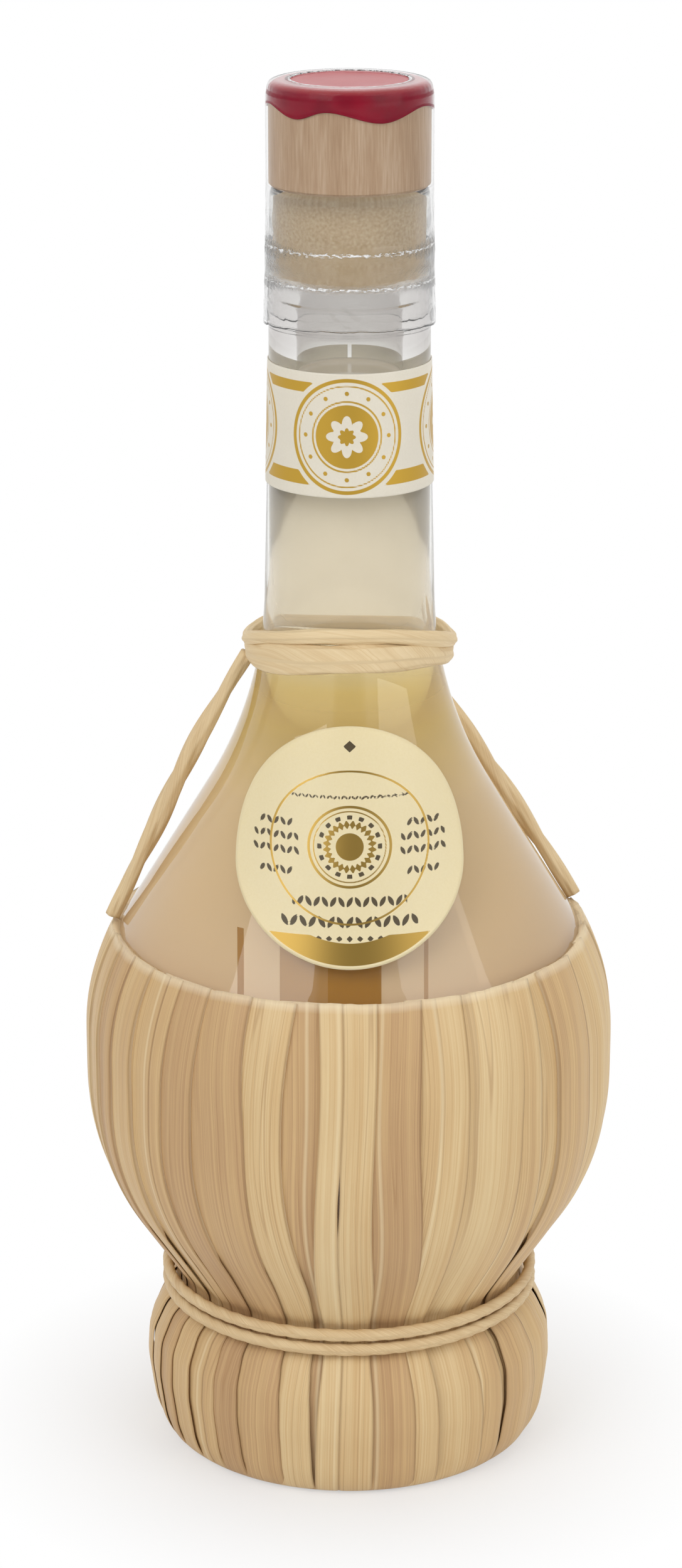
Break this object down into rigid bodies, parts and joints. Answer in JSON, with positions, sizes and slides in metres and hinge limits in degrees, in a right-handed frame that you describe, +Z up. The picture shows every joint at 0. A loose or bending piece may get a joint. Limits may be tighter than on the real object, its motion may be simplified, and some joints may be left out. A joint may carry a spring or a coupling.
{
  "type": "straw covered flask",
  "caption": "Round bottomed glass flask standing in a basket of upright straw strips, with a wooden T-stopper, wax cap, clear film, labels and raffia cords.",
  "frame": {"origin": "on the table, under the middle of the basket's foot", "axes": "+Z up along the bottle's axis, -Y towards the front label"},
  "size_m": [0.1028, 0.1028, 0.2664],
  "materials": {
    "glass": "clear, gloss",
    "liquid": "clear pale gold liquid",
    "cork": "matt, fine grained",
    "beech": "turned, satin",
    "wax": "dipped, gloss",
    "film": "clear, gloss",
    "label_paper": "printed, satin",
    "sedge_straw": "dried, satin",
    "straw_core": "dried, matt",
    "raffia": "dried, satin"
  },
  "bodies": {
    "bottle": {"glass_flask": "glass", "liquid": "liquid", "neck_label": "label_paper", "front_label": "label_paper", "foot_core": "straw_core", "waist_cord": "raffia", "waist_knot": "raffia", "neck_cord": "raffia", "neck_knot": "raffia", "left_stay": "raffia", "right_stay": "raffia", "straw_strip_01": "sedge_straw", "straw_strip_02": "sedge_straw", "straw_strip_03": "sedge_straw", "straw_strip_04": "sedge_straw", "straw_strip_05": "sedge_straw", "straw_strip_06": "sedge_straw", "straw_strip_07": "sedge_straw", "straw_strip_08": "sedge_straw", "straw_strip_09": "sedge_straw", "straw_strip_10": "sedge_straw", "straw_strip_11": "sedge_straw", "straw_strip_12": "sedge_straw", "straw_strip_13": "sedge_straw", "straw_strip_14": "sedge_straw", "straw_strip_15": "sedge_straw", "straw_strip_16": "sedge_straw", "straw_strip_17": "sedge_straw", "straw_strip_18": "sedge_straw", "straw_strip_19": "sedge_straw", "straw_strip_20": "sedge_straw", "straw_strip_21": "sedge_straw", "straw_strip_22": "sedge_straw", "straw_strip_23": "sedge_straw", "straw_strip_24": "sedge_straw", "straw_strip_25": "sedge_straw", "straw_strip_26": "sedge_straw", "straw_strip_27": "sedge_straw", "straw_strip_28": "sedge_straw", "straw_strip_29": "sedge_straw", "straw_strip_30": "sedge_straw", "straw_strip_31": "sedge_straw", "straw_strip_32": "sedge_straw", "straw_strip_33": "sedge_straw", "straw_strip_34": "sedge_straw", "straw_strip_35": "sedge_straw", "straw_strip_36": "sedge_straw"},
    "stopper": {"stopper_shank": "cork", "stopper_head": "beech", "wax_seal": "wax", "shrink_sleeve": "film"}
  },
  "joints": [
    {"name": "stopper_pull", "type": "slide", "parent": "bottle", "child": "stopper", "axis": [0, 0, 1], "range_m": [0, 0.045]}
  ]
}
